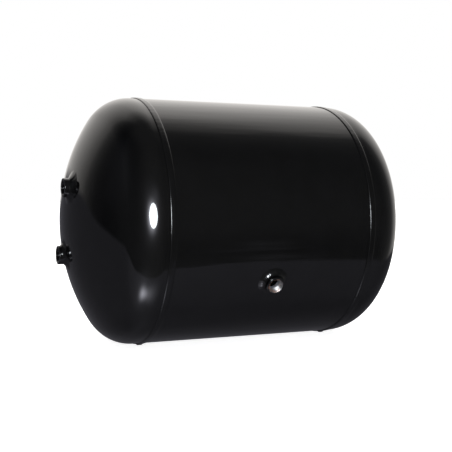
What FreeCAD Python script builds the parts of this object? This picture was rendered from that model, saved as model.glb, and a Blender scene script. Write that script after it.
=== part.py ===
"""Horizontal pressure tank: a welded steel air reservoir with threaded ports.

A rolled shell is closed by two dished heads. Each head has a short straight flange and a joggled
lip that slides inside the shell, and a girth weld fills the gap over that lip. Five threaded
bosses pass through the wall, two in each head and one in the shell, and each has a fillet weld.
The tank's axis lies along X. The model stands on its two girth welds at Z = 0.
"""
import FreeCAD, Part
import math
import os
import Sketcher
from FreeCAD import Placement, Rotation, Vector

# The driving dimensions, in millimetres and degrees.
SIZES = {
    "outer_radius": 198.0,          # outside of the shell and of the heads' straight flanges
    "wall": 3.0,                    # steel sheet of the shell and the heads
    "seam_reach": 166.2,            # from the middle of the tank to the middle of a girth weld
    "flange_reach": 11.3,           # from the middle of a girth weld to the start of the knuckle
    "crown_radius": 316.8,          # outside of the dish
    "knuckle_radius": 61.0,         # outside of the rounded corner of the head
    "root_gap": 2.0,                # between the shell's edge and the head's edge
    "lip_length": 10.0,             # how far the joggled lip goes inside the shell
    "lip_clearance": 0.3,           # between the lip and the inside of the shell
    "joggle_length": 6.0,           # slope on the inside of the head before the lip
    "bead_width": 11.0,             # girth weld
    "bead_height": 1.5,
    "seam_gap": 1.5,                # lengthwise seam of the rolled shell
    "seam_bead_width": 5.0,
    "seam_bead_height": 0.7,
    "seam_angle": 35.0,             # above the horizontal, on the back
    "boss_radius": 15.0,            # outside of every threaded boss
    "boss_edge": 1.0,               # rounding of its outer corner
    "bore_radius": 10.188,          # minor radius of an M22 x 1.5 thread
    "mouth_radius": 11.7,           # countersink at the bore's mouth
    "boss_fit": 0.1,                # between a boss and its hole in the sheet
    "head_boss_inset": 3.0,         # how far a head boss stands inside the sheet
    "shell_boss_inset": 1.0,        # how far the shell boss stands inside the sheet
    "head_boss_pitch": 57.0,        # from the tank's axis to a head boss's axis
    "head_boss_angle": 20.0,        # of the line through a head's two bosses, from the vertical
    "head_boss_reach": 12.0,        # how far a head boss stands out, along its axis
    "shell_boss_station": 1.0,      # along the tank from its middle
    "shell_boss_angle": 27.2,       # below the horizontal, on the front
    "shell_boss_reach": 12.0,       # how far the shell boss stands out, along its axis
    "boss_weld_leg": 7.0,           # both legs of the fillet weld round a boss
}

# Where the tank's axis runs: the tank stands on its girth welds, and its box is centred on Y = 0.
# The shell boss shifts the box only where it stands out past the girth welds.
AXIS_HEIGHT = "Sizes.outer_radius + Sizes.bead_height"
AXIS_OFFSET = (
    "max(0; ((Sizes.outer_radius + Sizes.shell_boss_reach - Sizes.boss_edge)"
    " * cos(Sizes.shell_boss_angle * 1 deg)"
    " + (Sizes.boss_radius - Sizes.boss_edge) * sin(Sizes.shell_boss_angle * 1 deg)"
    " + Sizes.boss_edge - Sizes.outer_radius - Sizes.bead_height) / 2)"
)
PARTS_FOLDER = "parts"

doc = FreeCAD.newDocument("PressureTank")


def make_sheet():
    """Put every driving dimension in a cell with its name as alias."""
    sheet = doc.addObject("Spreadsheet::Sheet", "Sizes")
    for row, (name, value) in enumerate(SIZES.items(), start=1):
        sheet.set("A%d" % row, name)
        sheet.set("B%d" % row, str(value))
        sheet.setAlias("B%d" % row, name)
    doc.recompute()
    return sheet


sheet = make_sheet()


def size(name):
    """Value of one cell, as a plain number."""
    return float(sheet.get(name))


def crown_angle():
    """Angle from the tank's axis at which the crown meets the knuckle."""
    knuckle = size("knuckle_radius")
    return math.asin((size("outer_radius") - knuckle) / (size("crown_radius") - knuckle))


def crown_centre():
    """Distance of the crown's centre from the middle of the tank, along its axis."""
    span = (size("crown_radius") - size("knuckle_radius")) * math.cos(crown_angle())
    return size("seam_reach") + size("flange_reach") - span


def head_boss_face():
    """Distance of a head boss's outer face from the middle of the tank."""
    drop = math.sqrt(size("crown_radius") ** 2 - size("head_boss_pitch") ** 2)
    return crown_centre() + drop + size("head_boss_reach")


def put_on_axis(item):
    """Carry a sub-part modelled about the X axis up to the tank's axis."""
    item.setExpression("Placement.Base.y", AXIS_OFFSET)
    item.setExpression("Placement.Base.z", AXIS_HEIGHT)


# ---------------------------------------------------------------- sketches

def new_body(label):
    body = doc.addObject("PartDesign::Body", label)
    body.Label = label
    return body


def new_sketch(body, name, role, offset=None):
    """A sketch on one of the body's own origin planes."""
    sketch = body.newObject("Sketcher::SketchObject", name)
    plane = [item for item in body.Origin.OriginFeatures if item.Role == role][0]
    sketch.AttachmentSupport = [(plane, "")]
    sketch.MapMode = "FlatFace"
    if offset is not None:
        sketch.AttachmentOffset = offset
    return sketch


def bind(sketch, name, kind, places, value, expression):
    """Add a dimension to a sketch and tie it to the sheet."""
    number = sketch.addConstraint(Sketcher.Constraint(kind, *places, value))
    sketch.renameConstraint(number, name)
    sketch.setExpression("Constraints." + name, expression)


def close_loop(sketch, count):
    """Join the end of each piece of an outline to the start of the next."""
    for number in range(count):
        sketch.addConstraint(Sketcher.Constraint("Coincident", number, 2, (number + 1) % count, 1))


def outline(sketch, points):
    """A closed outline of straight lines, held by the distances of its corners from the origin.

    Each point is (x, x expression, y, y expression).
    """
    corners = [Vector(x, y, 0) for x, _, y, _ in points]
    for number, corner in enumerate(corners):
        sketch.addGeometry(Part.LineSegment(corner, corners[(number + 1) % len(corners)]))
    close_loop(sketch, len(corners))
    for number, (x, x_text, y, y_text) in enumerate(points):
        bind(sketch, "across%d" % number, "DistanceX", (-1, 1, number, 1), x, x_text)
        bind(sketch, "up%d" % number, "DistanceY", (-1, 1, number, 1), y, y_text)


def revolve(body, sketch, axis):
    turn = body.newObject("PartDesign::Revolution", body.Label + "_turn")
    turn.Profile = sketch
    turn.ReferenceAxis = (sketch, [axis])
    turn.Angle = 360.0
    sketch.Visibility = False
    return turn


def cut_pocket(body, sketch, length_text):
    """A pocket along the sketch's normal, with a check that it took material away."""
    doc.recompute()
    before = body.Shape.Volume
    pocket = body.newObject("PartDesign::Pocket", sketch.Name + "_cut")
    pocket.Profile = sketch
    pocket.Type = "Length"
    pocket.Reversed = True
    pocket.setExpression("Length", length_text)
    doc.recompute()
    if body.Shape.Volume >= before - 1.0:
        raise RuntimeError(body.Label + ": the pocket " + sketch.Name + " cut nothing")
    return pocket


def add_circle(sketch, name, centre, centre_text, radius, radius_text):
    number = sketch.addGeometry(Part.Circle(Vector(centre[0], centre[1], 0), Vector(0, 0, 1), radius))
    bind(sketch, name + "_across", "DistanceX", (-1, 1, number, 3), centre[0], centre_text[0])
    bind(sketch, name + "_up", "DistanceY", (-1, 1, number, 3), centre[1], centre_text[1])
    bind(sketch, name + "_radius", "Radius", (number,), radius, radius_text)


# ---------------------------------------------------------------- sheet metal

def radial_offset(angle):
    """Turn the XY plane about X so that its normal points out of the shell at an angle."""
    return Placement(Vector(0, 0, 0), Rotation(Vector(1, 0, 0), angle))


def make_shell():
    """The rolled cylinder, open along its seam, with the hole for the shell boss."""
    body = new_body("shell")
    ring = new_sketch(body, "shell_section", "YZ_Plane")
    outer = size("outer_radius")
    ring.addGeometry(Part.Circle(Vector(0, 0, 0), Vector(0, 0, 1), outer))
    ring.addGeometry(Part.Circle(Vector(0, 0, 0), Vector(0, 0, 1), outer - size("wall")))
    for number in (0, 1):
        ring.addConstraint(Sketcher.Constraint("Coincident", number, 3, -1, 1))
    bind(ring, "outside", "Radius", (0,), outer, "Sizes.outer_radius")
    bind(ring, "inside", "Radius", (1,), outer - size("wall"), "Sizes.outer_radius - Sizes.wall")
    pad = body.newObject("PartDesign::Pad", "shell_pad")
    pad.Profile = ring
    pad.Midplane = True
    pad.setExpression("Length", "2 * Sizes.seam_reach - Sizes.root_gap")

    slot = new_sketch(body, "seam_slot", "XY_Plane", radial_offset(size("seam_angle") - 90.0))
    half_length = size("seam_reach")
    half_gap = size("seam_gap") / 2
    outline(slot, [
        (-half_length, "-Sizes.seam_reach", -half_gap, "-Sizes.seam_gap / 2"),
        (half_length, "Sizes.seam_reach", -half_gap, "-Sizes.seam_gap / 2"),
        (half_length, "Sizes.seam_reach", half_gap, "Sizes.seam_gap / 2"),
        (-half_length, "-Sizes.seam_reach", half_gap, "Sizes.seam_gap / 2"),
    ])
    cut_pocket(body, slot, "2 * Sizes.outer_radius")

    hole = new_sketch(body, "boss_hole", "XY_Plane", radial_offset(90.0 + size("shell_boss_angle")))
    add_circle(hole, "hole", (size("shell_boss_station"), 0.0), ("Sizes.shell_boss_station", "0"),
               size("boss_radius") + size("boss_fit"), "Sizes.boss_radius + Sizes.boss_fit")
    cut_pocket(body, hole, "2 * Sizes.outer_radius")
    put_on_axis(body)
    return body


def head_section(sketch):
    """Half section of a head, from the gap at the girth weld over the dish to the lip."""
    outer = size("outer_radius")
    wall = size("wall")
    knuckle = size("knuckle_radius")
    crown = size("crown_radius")
    edge = size("seam_reach") + size("root_gap") / 2
    bend = size("seam_reach") + size("flange_reach")
    lip_end = size("seam_reach") - size("root_gap") / 2 - size("lip_length")
    lip_top = outer - wall - size("lip_clearance")
    turn = crown_angle()
    centre = Vector(crown_centre(), 0, 0)
    corner = Vector(bend, outer - knuckle, 0)
    along = Vector(math.cos(turn), math.sin(turn), 0)
    flat = Vector(0, 0, 1)

    def arc(middle, radius, start, end):
        return Part.ArcOfCircle(Part.Circle(middle, flat, radius), start, end)

    apex = centre + Vector(crown, 0, 0)
    apex_inside = centre + Vector(crown - wall, 0, 0)
    points = {
        "edge_top": Vector(edge, outer, 0), "bend_top": Vector(bend, outer, 0),
        "bend_inside": Vector(bend, outer - wall, 0),
        "joggle_start": Vector(edge + size("joggle_length"), outer - wall, 0),
        "joggle_end": Vector(edge, lip_top - wall, 0),
        "lip_inside": Vector(lip_end, lip_top - wall, 0), "lip_outside": Vector(lip_end, lip_top, 0),
        "lip_root": Vector(edge, lip_top, 0),
    }
    line = Part.LineSegment
    sketch.addGeometry(line(points["edge_top"], points["bend_top"]))                    # 0
    sketch.addGeometry(arc(corner, knuckle, turn, math.pi / 2))                         # 1
    sketch.addGeometry(arc(centre, crown, 0.0, turn))                                   # 2
    sketch.addGeometry(line(apex, apex_inside))                                         # 3
    sketch.addGeometry(arc(centre, crown - wall, 0.0, turn))                            # 4
    sketch.addGeometry(arc(corner, knuckle - wall, turn, math.pi / 2))                  # 5
    sketch.addGeometry(line(points["bend_inside"], points["joggle_start"]))             # 6
    sketch.addGeometry(line(points["joggle_start"], points["joggle_end"]))              # 7
    sketch.addGeometry(line(points["joggle_end"], points["lip_inside"]))                # 8
    sketch.addGeometry(line(points["lip_inside"], points["lip_outside"]))               # 9
    sketch.addGeometry(line(points["lip_outside"], points["lip_root"]))                 # 10
    sketch.addGeometry(line(points["lip_root"], points["edge_top"]))                    # 11

    joints = [(0, 2, 1, 2), (1, 1, 2, 2), (2, 1, 3, 1), (3, 2, 4, 1), (4, 2, 5, 1), (5, 2, 6, 1),
              (6, 2, 7, 1), (7, 2, 8, 1), (8, 2, 9, 1), (9, 2, 10, 1), (10, 2, 11, 1), (11, 2, 0, 1)]
    tangent = {(0, 2, 1, 2), (1, 1, 2, 2), (4, 2, 5, 1), (5, 2, 6, 1)}
    for joint in joints:
        kind = "Tangent" if joint in tangent else "Coincident"
        sketch.addConstraint(Sketcher.Constraint(kind, *joint))
    for number in (0, 6, 8, 10):
        sketch.addConstraint(Sketcher.Constraint("Horizontal", number))
    for number in (9, 11):
        sketch.addConstraint(Sketcher.Constraint("Vertical", number))
    sketch.addConstraint(Sketcher.Constraint("PointOnObject", 2, 3, -1))
    sketch.addConstraint(Sketcher.Constraint("PointOnObject", 2, 1, -1))
    sketch.addConstraint(Sketcher.Constraint("Coincident", 4, 3, 2, 3))
    sketch.addConstraint(Sketcher.Constraint("PointOnObject", 4, 1, -1))
    sketch.addConstraint(Sketcher.Constraint("Coincident", 5, 3, 1, 3))

    bind(sketch, "knuckle", "Radius", (1,), knuckle, "Sizes.knuckle_radius")
    bind(sketch, "crown", "Radius", (2,), crown, "Sizes.crown_radius")
    bind(sketch, "crown_inside", "Radius", (4,), crown - wall, "Sizes.crown_radius - Sizes.wall")
    bind(sketch, "outside", "DistanceY", (-1, 1, 0, 1), outer, "Sizes.outer_radius")
    bind(sketch, "edge", "DistanceX", (-1, 1, 0, 1), edge, "Sizes.seam_reach + Sizes.root_gap / 2")
    bind(sketch, "bend", "DistanceX", (-1, 1, 0, 2), bend, "Sizes.seam_reach + Sizes.flange_reach")
    bind(sketch, "joggle", "DistanceX", (7, 2, 7, 1), size("joggle_length"), "Sizes.joggle_length")
    bind(sketch, "joggle_foot", "DistanceX", (-1, 1, 7, 2), edge, "Sizes.seam_reach + Sizes.root_gap / 2")
    bind(sketch, "lip_wall", "DistanceY", (9, 1, 9, 2), wall, "Sizes.wall")
    bind(sketch, "lip_top", "DistanceY", (-1, 1, 9, 2), lip_top,
         "Sizes.outer_radius - Sizes.wall - Sizes.lip_clearance")
    bind(sketch, "lip_end", "DistanceX", (-1, 1, 9, 2), lip_end,
         "Sizes.seam_reach - Sizes.root_gap / 2 - Sizes.lip_length")


def make_head(side):
    """A dished head with its joggled lip and the holes for its two bosses."""
    body = new_body(side + "_head")
    section = new_sketch(body, side + "_head_section", "XZ_Plane")
    head_section(section)
    revolve(body, section, "H_Axis")
    holes = new_sketch(body, side + "_head_holes", "YZ_Plane")
    pitch = size("head_boss_pitch")
    angle = math.radians(size("head_boss_angle"))
    for name, way in (("upper", 1), ("lower", -1)):
        across = way * pitch * math.sin(angle)
        up = way * pitch * math.cos(angle)
        texts = ("%d * Sizes.head_boss_pitch * sin(Sizes.head_boss_angle * 1 deg)" % way,
                 "%d * Sizes.head_boss_pitch * cos(Sizes.head_boss_angle * 1 deg)" % way)
        add_circle(holes, name, (across, up), texts, size("boss_radius") + size("boss_fit"),
                   "Sizes.boss_radius + Sizes.boss_fit")
    cut_pocket(body, holes, "2 * Sizes.seam_reach + Sizes.crown_radius")
    put_on_axis(body)
    body.Placement.Rotation = END_TURN[side]
    return body


# ---------------------------------------------------------------- seam welds

def make_girth_weld(side):
    """Ring of weld: a root that fills the gap down to the lip, and a low rounded cap."""
    body = new_body(side + "_girth_weld")
    section = new_sketch(body, side + "_girth_section", "XZ_Plane")
    middle = size("seam_reach")
    outer = size("outer_radius")
    root = outer - size("wall") - size("lip_clearance")
    half_gap = size("root_gap") / 2
    half_cap = size("bead_width") / 2
    points = [Vector(middle - half_cap, outer, 0), Vector(middle - half_gap, outer, 0),
              Vector(middle - half_gap, root, 0), Vector(middle + half_gap, root, 0),
              Vector(middle + half_gap, outer, 0), Vector(middle + half_cap, outer, 0)]
    for start, end in zip(points, points[1:]):
        section.addGeometry(Part.LineSegment(start, end))
    top = Vector(middle, outer + size("bead_height"), 0)
    section.addGeometry(Part.Arc(points[0], top, points[-1]))
    for number in range(4):
        section.addConstraint(Sketcher.Constraint("Coincident", number, 2, number + 1, 1))
    section.addConstraint(Sketcher.Constraint("Coincident", 4, 2, 5, 1))
    section.addConstraint(Sketcher.Constraint("Coincident", 5, 2, 0, 1))
    for number in (0, 2, 4):
        section.addConstraint(Sketcher.Constraint("Horizontal", number))
    for number in (1, 3):
        section.addConstraint(Sketcher.Constraint("Vertical", number))
    bind(section, "cap_start", "DistanceX", (-1, 1, 0, 1), middle - half_cap,
         "Sizes.seam_reach - Sizes.bead_width / 2")
    bind(section, "cap_end", "DistanceX", (-1, 1, 4, 2), middle + half_cap,
         "Sizes.seam_reach + Sizes.bead_width / 2")
    bind(section, "gap_start", "DistanceX", (-1, 1, 1, 1), middle - half_gap,
         "Sizes.seam_reach - Sizes.root_gap / 2")
    bind(section, "gap_end", "DistanceX", (-1, 1, 3, 1), middle + half_gap,
         "Sizes.seam_reach + Sizes.root_gap / 2")
    bind(section, "outside", "DistanceY", (-1, 1, 0, 1), outer, "Sizes.outer_radius")
    bind(section, "outside_end", "DistanceY", (-1, 1, 4, 2), outer, "Sizes.outer_radius")
    bind(section, "root", "DistanceY", (-1, 1, 2, 1), root,
         "Sizes.outer_radius - Sizes.wall - Sizes.lip_clearance")
    cap_radius = (half_cap ** 2 + size("bead_height") ** 2) / (2 * size("bead_height"))
    bind(section, "cap", "Radius", (5,), cap_radius,
         "(Sizes.bead_width ^ 2 / 4 + Sizes.bead_height ^ 2) / (2 * Sizes.bead_height)")
    revolve(body, section, "H_Axis")
    put_on_axis(body)
    body.Placement.Rotation = END_TURN[side]
    return body


def make_shell_seam_weld():
    """Straight weld along the rolled shell: a root through the sheet under a low rounded cap."""
    body = new_body("shell_seam_weld")
    plane_turn = Rotation(Vector(0, 0, 1), size("seam_angle"))
    section = new_sketch(body, "seam_section", "YZ_Plane", Placement(Vector(0, 0, 0), plane_turn))
    outer = size("outer_radius")
    inner = outer - size("wall")
    half_gap = size("seam_gap") / 2
    half_cap = size("seam_bead_width") / 2
    flank = math.sqrt(outer ** 2 - half_cap ** 2)
    notch = math.sqrt(outer ** 2 - half_gap ** 2)
    root = math.sqrt(inner ** 2 - half_gap ** 2)
    crest = outer + size("seam_bead_height")
    low, high = Vector(flank, -half_cap, 0), Vector(flank, half_cap, 0)
    corners = [Vector(notch, half_gap, 0), Vector(root, half_gap, 0),
               Vector(root, -half_gap, 0), Vector(notch, -half_gap, 0)]

    def on_radius(radius, across):
        return Vector(math.sqrt(radius ** 2 - across ** 2), across, 0)

    quarter = (half_cap + half_gap) / 2
    section.addGeometry(Part.Arc(low, Vector(crest, 0, 0), high))
    section.addGeometry(Part.Arc(high, on_radius(outer, quarter), corners[0]))
    section.addGeometry(Part.LineSegment(corners[0], corners[1]))
    section.addGeometry(Part.Arc(corners[1], Vector(inner, 0, 0), corners[2]))
    section.addGeometry(Part.LineSegment(corners[2], corners[3]))
    section.addGeometry(Part.Arc(corners[3], on_radius(outer, -quarter), low))
    pad = body.newObject("PartDesign::Pad", "seam_pad")
    pad.Profile = section
    pad.Midplane = True
    pad.setExpression("Length", "2 * Sizes.seam_reach - Sizes.root_gap")
    put_on_axis(body)
    return body


# ---------------------------------------------------------------- bosses

def make_boss(label, placement, kind):
    """A turned threaded ring of one kind, head_boss or shell_boss.

    Its outer face is at the local origin and its bore runs along Z.
    """
    body = new_body(label)
    section = new_sketch(body, label + "_section", "XZ_Plane")
    length = boss_length(kind)
    length_text = "-(Sizes.%s_reach + Sizes.wall + Sizes.%s_inset)" % (kind, kind)
    bore, mouth, outside = size("bore_radius"), size("mouth_radius"), size("boss_radius")
    outline(section, [
        (mouth, "Sizes.mouth_radius", 0.0, "0"),
        (outside, "Sizes.boss_radius", 0.0, "0"),
        (outside, "Sizes.boss_radius", -length, length_text),
        (bore, "Sizes.bore_radius", -length, length_text),
        (bore, "Sizes.bore_radius", bore - mouth, "Sizes.bore_radius - Sizes.mouth_radius"),
    ])
    turn = revolve(body, section, "V_Axis")
    doc.recompute()
    rim = [number for number, edge in enumerate(turn.Shape.Edges, start=1)
           if abs(edge.BoundBox.ZLength) < 1e-6 and abs(edge.BoundBox.ZMax) < 1e-6
           and abs(edge.BoundBox.XMax - outside) < 1e-6]
    rounding = body.newObject("PartDesign::Fillet", label + "_edge")
    rounding.Base = (turn, ["Edge%d" % number for number in rim])
    rounding.setExpression("Radius", "Sizes.boss_edge")
    body.Placement = placement
    return body


def boss_length(kind):
    """Whole length of a boss, from its outer face to its end inside the tank."""
    return size(kind + "_reach") + size("wall") + size(kind + "_inset")


def barrel(name, placement, length):
    """A plain round bar of the boss's outside, from the boss's face inwards."""
    bar = doc.addObject("Part::Cylinder", name)
    bar.setExpression("Radius", "Sizes.boss_radius")
    bar.Height = length
    bar.Placement = placement * Placement(Vector(0, 0, -length), Rotation())
    return bar


def make_boss_weld(label, skin, placement, length):
    """Fillet weld round a boss: the flat-faced wedge between the skin and the barrel."""
    bar = barrel(label + "_barrel", placement, length)
    joined = doc.addObject("Part::Fuse", label + "_joined")
    joined.Base = skin
    joined.Tool = bar
    doc.recompute()
    axis = placement.Rotation.multVec(Vector(0, 0, 1))
    corner = []
    for number, edge in enumerate(joined.Shape.Edges, start=1):
        if edge.Degenerated:
            continue
        if lies_on_barrel(edge, placement.Base, axis) and is_in_corner(edge, placement.Base, axis):
            corner.append(number)
    if not corner:
        raise RuntimeError(label + ": no corner to weld")
    filled = doc.addObject("Part::Chamfer", label + "_filled")
    filled.Base = joined
    filled.Edges = [(number, size("boss_weld_leg"), size("boss_weld_leg")) for number in corner]
    bared = doc.addObject("Part::Cut", label + "_bared")
    bared.Base = filled
    bared.Tool = skin
    weld = doc.addObject("Part::Cut", label)
    weld.Base = bared
    weld.Tool = bar
    weld.Label = label
    doc.recompute()
    put_on_axis(weld)
    return weld


def lies_on_barrel(edge, origin, axis):
    """True where every sampled point of an edge is one boss radius from the boss's axis."""
    for point in edge.discretize(9):
        arm = point - origin
        if abs((arm - axis * arm.dot(axis)).Length - size("boss_radius")) > 1e-3:
            return False
    return True


def is_in_corner(edge, origin, axis):
    """True for the edge where the barrel leaves the skin, which is neither of its flat ends."""
    depths = [(point - origin).dot(axis) for point in edge.discretize(9)]
    if max(depths) - min(depths) > size("boss_radius"):
        return False
    return max(depths) < -1e-3


def head_skin(side):
    """Solid ball of the head's crown, in the frame of the tank's axis."""
    ball = doc.addObject("Part::Sphere", side + "_crown_ball")
    ball.setExpression("Radius", "Sizes.crown_radius")
    ball.Placement = Placement(Vector(END_SIGN[side] * crown_centre(), 0, 0), Rotation())
    return ball


def shell_skin():
    """Solid bar of the shell's outside, in the frame of the tank's axis."""
    bar = doc.addObject("Part::Cylinder", "shell_bar")
    bar.setExpression("Radius", "Sizes.outer_radius")
    bar.setExpression("Height", "2 * Sizes.seam_reach")
    bar.Placement = Placement(Vector(-size("seam_reach"), 0, 0), Rotation(Vector(0, 1, 0), 90))
    return bar


def head_boss_place(side, way):
    """Outer face of a head boss, in the frame of the tank's axis: way is 1 above and -1 below."""
    angle = math.radians(size("head_boss_angle"))
    out = END_SIGN[side]
    across = out * way * size("head_boss_pitch") * math.sin(angle)
    up = way * size("head_boss_pitch") * math.cos(angle)
    return Placement(Vector(out * head_boss_face(), across, up), Rotation(Vector(0, 1, 0), out * 90))


def shell_boss_place():
    """Outer face of the shell boss, in the frame of the tank's axis."""
    angle = math.radians(size("shell_boss_angle"))
    out = Vector(0, -math.cos(angle), -math.sin(angle))
    reach = size("outer_radius") + size("shell_boss_reach")
    base = Vector(size("shell_boss_station"), 0, 0) + out * reach
    return Placement(base, Rotation(Vector(1, 0, 0), 90.0 + size("shell_boss_angle")))


def raised(placement):
    """The same place in the frame of the whole model."""
    probe = doc.getObject("shell").Placement.Base
    return Placement(probe, Rotation()) * placement


# ---------------------------------------------------------------- assembly

END_SIGN = {"left": -1, "right": 1}
END_TURN = {"left": Rotation(Vector(0, 0, 1), 180), "right": Rotation()}
WAYS = {"upper": 1, "lower": -1}


def build():
    """Make every sub-part and return them in order."""
    pieces = [make_shell(), make_shell_seam_weld()]
    doc.recompute()
    for side in END_SIGN:
        pieces.append(make_head(side))
        pieces.append(make_girth_weld(side))
        for name, way in WAYS.items():
            place = head_boss_place(side, way)
            label = "%s_%s_boss" % (side, name)
            pieces.append(make_boss(label, raised(place), "head_boss"))
            pieces.append(make_boss_weld(label + "_weld", head_skin(side), place,
                                         boss_length("head_boss")))
    place = shell_boss_place()
    pieces.append(make_boss("shell_boss", raised(place), "shell_boss"))
    pieces.append(make_boss_weld("shell_boss_weld", shell_skin(), place, boss_length("shell_boss")))
    doc.recompute()
    return pieces


def check(pieces):
    """Stop if any object failed, or any sub-part is empty, broken or in more than one solid."""
    for item in doc.Objects:
        if "Invalid" in item.State or "Error" in item.State:
            raise RuntimeError("failed object: " + item.Name)
    for piece in pieces:
        shape = piece.Shape
        if shape.isNull() or not shape.isValid() or len(shape.Solids) != 1:
            raise RuntimeError("bad shape: " + piece.Label)


def write(pieces):
    os.makedirs(PARTS_FOLDER, exist_ok=True)
    for piece in pieces:
        piece.Shape.exportStep(os.path.join(PARTS_FOLDER, piece.Label + ".step"))
        box = piece.Shape.BoundBox
        print("%-24s volume %9.0f  x %.2f %.2f  y %.2f %.2f  z %.2f %.2f" % (
            piece.Label, piece.Shape.Volume, box.XMin, box.XMax, box.YMin, box.YMax, box.ZMin, box.ZMax))


pieces = build()
check(pieces)
write(pieces)
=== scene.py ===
"""Looks of the horizontal pressure tank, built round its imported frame.

Every piece is made as the workshop makes it: a rolled shell, two pressed heads, runs of weld with
their ripples, and turned bosses with real threads. Lengths are in metres and angles in radians.
"""
import math
import random

import bmesh
import bpy
import numpy as np
from bpy.props import FloatProperty, FloatVectorProperty, IntProperty, PointerProperty
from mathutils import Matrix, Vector, geometry


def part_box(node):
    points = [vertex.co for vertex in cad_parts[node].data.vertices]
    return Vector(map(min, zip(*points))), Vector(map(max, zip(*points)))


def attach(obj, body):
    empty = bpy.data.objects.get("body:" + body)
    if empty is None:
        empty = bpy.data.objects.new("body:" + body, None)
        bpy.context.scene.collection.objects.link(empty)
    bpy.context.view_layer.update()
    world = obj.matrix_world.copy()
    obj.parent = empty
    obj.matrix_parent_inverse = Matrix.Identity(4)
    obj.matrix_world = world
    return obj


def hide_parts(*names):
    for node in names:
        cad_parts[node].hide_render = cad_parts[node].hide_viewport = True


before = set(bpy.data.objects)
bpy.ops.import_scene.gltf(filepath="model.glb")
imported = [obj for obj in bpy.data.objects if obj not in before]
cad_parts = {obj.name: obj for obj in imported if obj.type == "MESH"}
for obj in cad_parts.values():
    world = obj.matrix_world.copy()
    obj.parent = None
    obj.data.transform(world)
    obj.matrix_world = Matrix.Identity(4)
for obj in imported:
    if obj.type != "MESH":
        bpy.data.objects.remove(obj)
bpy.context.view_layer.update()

bl_info = {
    "name": "Horizontal Pressure Tank",
    "version": (1, 0, 0),
    "blender": (4, 5, 0),
    "location": "View3D > Sidebar > Tank",
    "description": "Makes the painted steel shell, heads, welds and threaded bosses of a tank",
    "category": "Object",
}

MM = 0.001
FULL_TURN = 2.0 * math.pi


# ---------------------------------------------------------------- places read from the frame

def middle_of(node):
    low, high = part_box(node)
    return (low + high) / 2


def span_of(node):
    low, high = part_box(node)
    return high - low


AXIS = Vector((0.0, *middle_of("right_girth_weld").yz))           # the tank's axis, at its middle
SHELL_HALF_LENGTH = span_of("shell").x / 2
OUTER_RADIUS = span_of("right_head").z / 2
BEAD_STATION = middle_of("right_girth_weld").x
BEAD_WIDTH = span_of("right_girth_weld").x
BEAD_HEIGHT = span_of("right_girth_weld").z / 2 - OUTER_RADIUS
HEAD_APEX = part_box("right_head")[1].x
LIP_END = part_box("right_head")[0].x
BOSS_RADIUS = span_of("right_upper_boss").z / 2
HEAD_BOSS_LENGTH = span_of("right_upper_boss").x
SIDES = {"left": -1.0, "right": 1.0}
LEVELS = ("upper", "lower")


# ---------------------------------------------------------------- sizes and colours to change

def length_setting(name, description, millimetres):
    return FloatProperty(name=name, description=description, default=millimetres * MM,
                         unit="LENGTH")


def angle_setting(name, description, degrees):
    return FloatProperty(name=name, description=description, default=math.radians(degrees),
                         subtype="ANGLE")


def colour_setting(name, description, colour):
    return FloatVectorProperty(name=name, description=description, default=colour,
                               subtype="COLOR", min=0.0, max=1.0)


class TankSizes(bpy.types.PropertyGroup):
    """Sizes of the steel that the frame's boxes don't give"""
    wall: length_setting("Wall", "Thickness of the shell and the heads", 3.0)
    crown_radius: length_setting("Crown Radius", "Outside radius of the dish", 316.8)
    knuckle_radius: length_setting(
        "Knuckle Radius", "Outside radius of the head's rounded corner", 61.0)
    lip_clearance: length_setting(
        "Lip Clearance", "Between the head's lip and the inside of the shell", 0.3)
    joggle_length: length_setting(
        "Joggle Length", "Slope inside the head before its lip", 6.0)
    boss_fit: length_setting("Boss Fit", "Gap between a boss and its hole in the sheet", 0.1)
    boss_edge: length_setting("Boss Edge", "Rounding of a boss's outer corner", 1.0)
    shell_boss_length: length_setting(
        "Shell Boss Length", "Whole length of the boss in the shell", 16.0)
    bore_radius: length_setting(
        "Bore Radius", "Radius over the crests of the inside thread", 10.188)
    mouth_radius: length_setting("Mouth Radius", "Countersink at the mouth of a bore", 11.7)
    thread_pitch: length_setting("Thread Pitch", "Rise of the thread in one turn", 1.5)
    thread_depth: length_setting("Thread Depth", "From the thread's crest to its root", 0.81)
    boss_weld_rise: length_setting(
        "Boss Weld Rise", "Leg of the fillet weld along a boss", 6.0)
    head_weld_spread: length_setting(
        "Head Weld Spread", "Leg of a boss's fillet weld on the dish", 12.0)
    shell_weld_spread: length_setting(
        "Shell Weld Spread", "Leg of a boss's fillet weld on the shell", 9.0)
    painted_thread: length_setting(
        "Painted Thread", "Depth that the paint reaches into a head's bores", 9.0)
    # Past this depth a bore is given the dark inside steel as painted shade.
    bright_thread: length_setting(
        "Bright Thread", "Depth at which the bare thread turns dull", 9.9)
    ripple_pitch: length_setting("Ripple Pitch", "Spacing of the ripples along a weld", 3.0)
    ripple_depth: length_setting("Ripple Depth", "Depth of the ripples along a weld", 0.09)
    seam_angle: angle_setting(
        "Seam Angle", "Height of the lengthwise seam above the horizontal", 35.0)
    seam_gap: length_setting(
        "Seam Gap", "Width of the gap that the lengthwise weld fills", 1.5)
    segments: IntProperty(
        name="Segments", description="Divisions round the shell and the heads",
        default=384, min=48)


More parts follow.
